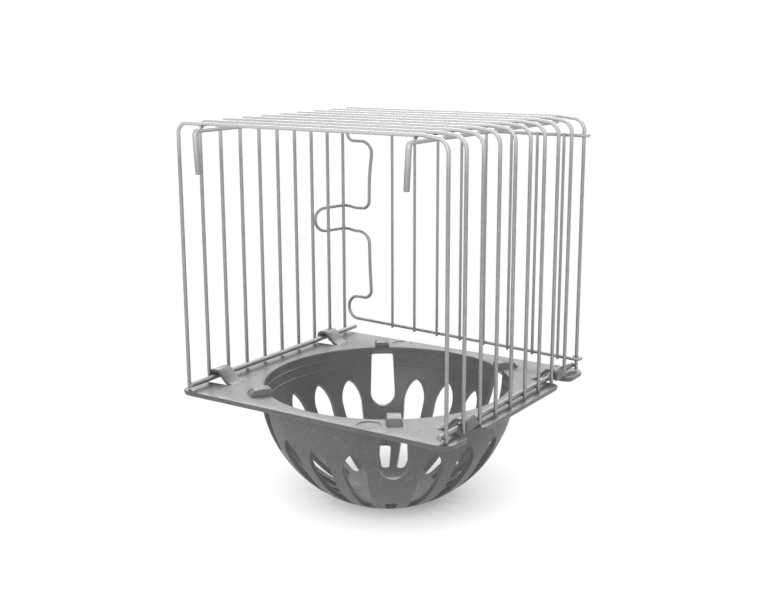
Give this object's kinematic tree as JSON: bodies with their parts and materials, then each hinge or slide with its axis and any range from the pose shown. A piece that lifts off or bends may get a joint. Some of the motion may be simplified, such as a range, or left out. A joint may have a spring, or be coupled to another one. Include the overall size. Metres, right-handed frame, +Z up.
{
  "type": "bird nest cage",
  "caption": "Box-shaped wire cage, open at the front, with hooks to hang on a bird cage, a wire door at the back and a round slotted plastic nest pan clipped under it",
  "frame": {"origin": "centre of the flat round foot under the bowl, on the surface it stands on", "axes": "+Z up; +Y towards the back with the door; +X towards the door's hinge side; the open front faces -Y"},
  "size_m": [0.1364, 0.1233, 0.1635],
  "materials": {
    "hoop_wire": "zinc-plated drawn wire, satin",
    "rail_wire": "zinc-plated drawn wire, satin",
    "hanger_wire": "zinc-plated drawn wire, satin",
    "door_wire": "zinc-plated drawn wire, satin",
    "door_bar_wire": "zinc-plated drawn wire, satin",
    "pan_plastic": "moulded grey plastic, satin with fine specks"
  },
  "bodies": {
    "frame": {"nest_pan": "pan_plastic", "hoop_01": "hoop_wire", "hoop_02": "hoop_wire", "hoop_03": "hoop_wire", "hoop_04": "hoop_wire", "hoop_05": "hoop_wire", "hoop_06": "hoop_wire", "hoop_07": "hoop_wire", "hoop_08": "hoop_wire", "hoop_09": "hoop_wire", "hoop_10": "hoop_wire", "rail_left": "rail_wire", "rail_right": "rail_wire", "hanger_wire_left": "hanger_wire", "hanger_wire_right": "hanger_wire"},
    "door": {"door_frame_wire": "door_wire", "door_bar_1": "door_bar_wire", "door_bar_2": "door_bar_wire", "door_bar_3": "door_bar_wire", "door_bar_4": "door_bar_wire", "door_bar_5": "door_bar_wire", "door_bar_6": "door_bar_wire", "door_bar_7": "door_bar_wire", "door_bar_8": "door_bar_wire"}
  },
  "joints": [
    {"name": "door_hinge", "type": "hinge", "parent": "frame", "child": "door", "pos_m": [0.062, 0.0558, 0.05529], "axis": [0, 0, -1], "range_deg": [0, 255]}
  ]
}
